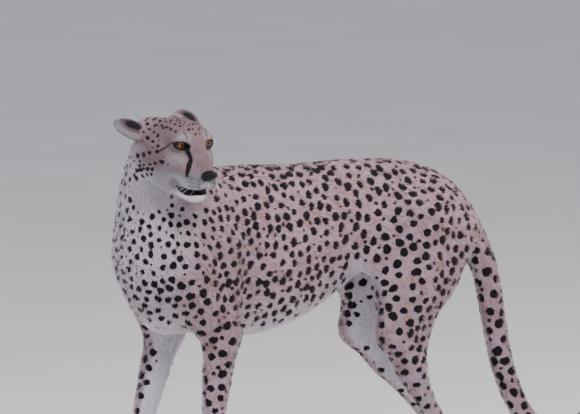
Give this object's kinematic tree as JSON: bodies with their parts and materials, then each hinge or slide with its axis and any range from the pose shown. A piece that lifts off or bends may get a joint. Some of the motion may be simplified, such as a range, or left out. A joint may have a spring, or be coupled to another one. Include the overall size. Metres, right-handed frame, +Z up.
{
  "type": "cheetah",
  "caption": "Life-size standing cheetah, head turned to its left, jaws just parted, long tail hanging; a still animal figure that rests on its paws.",
  "frame": {"origin": "on the floor, below the centre of the animal's box", "axes": "+Z up, the breast faces -Y, +X is the animal's left, where the face looks"},
  "size_m": [0.359, 1.2398, 0.9111],
  "materials": {
    "coat": "short tawny fur with round black spots",
    "pale_coat": "short whitish fur",
    "nose": "bare, faintly moist, finely grained",
    "eye": "wet and clear over an amber iris",
    "claw": "worn horn"
  },
  "bodies": {
    "root": {"right_ear": "coat", "left_ear": "coat", "left_eye": "eye", "right_eye": "eye", "nose": "nose", "lower_jaw": "pale_coat", "head": "coat", "neck": "coat", "left_thigh": "coat", "right_thigh": "coat", "trunk": "coat", "tail_tip": "pale_coat", "tail_middle": "coat", "tail_root": "coat", "left_fore_claw_1": "claw", "left_fore_claw_2": "claw", "left_fore_claw_3": "claw", "left_fore_claw_4": "claw", "left_dewclaw": "claw", "left_forearm": "coat", "left_forepaw": "coat", "right_fore_claw_1": "claw", "right_fore_claw_2": "claw", "right_fore_claw_3": "claw", "right_fore_claw_4": "claw", "right_dewclaw": "claw", "right_forearm": "coat", "right_forepaw": "coat", "left_hind_claw_1": "claw", "left_hind_claw_2": "claw", "left_hind_claw_3": "claw", "left_hind_claw_4": "claw", "left_shank": "coat", "left_hind_foot": "coat", "right_hind_claw_1": "claw", "right_hind_claw_2": "claw", "right_hind_claw_3": "claw", "right_hind_claw_4": "claw", "right_shank": "coat", "right_hind_foot": "coat"}
  },
  "joints": []
}
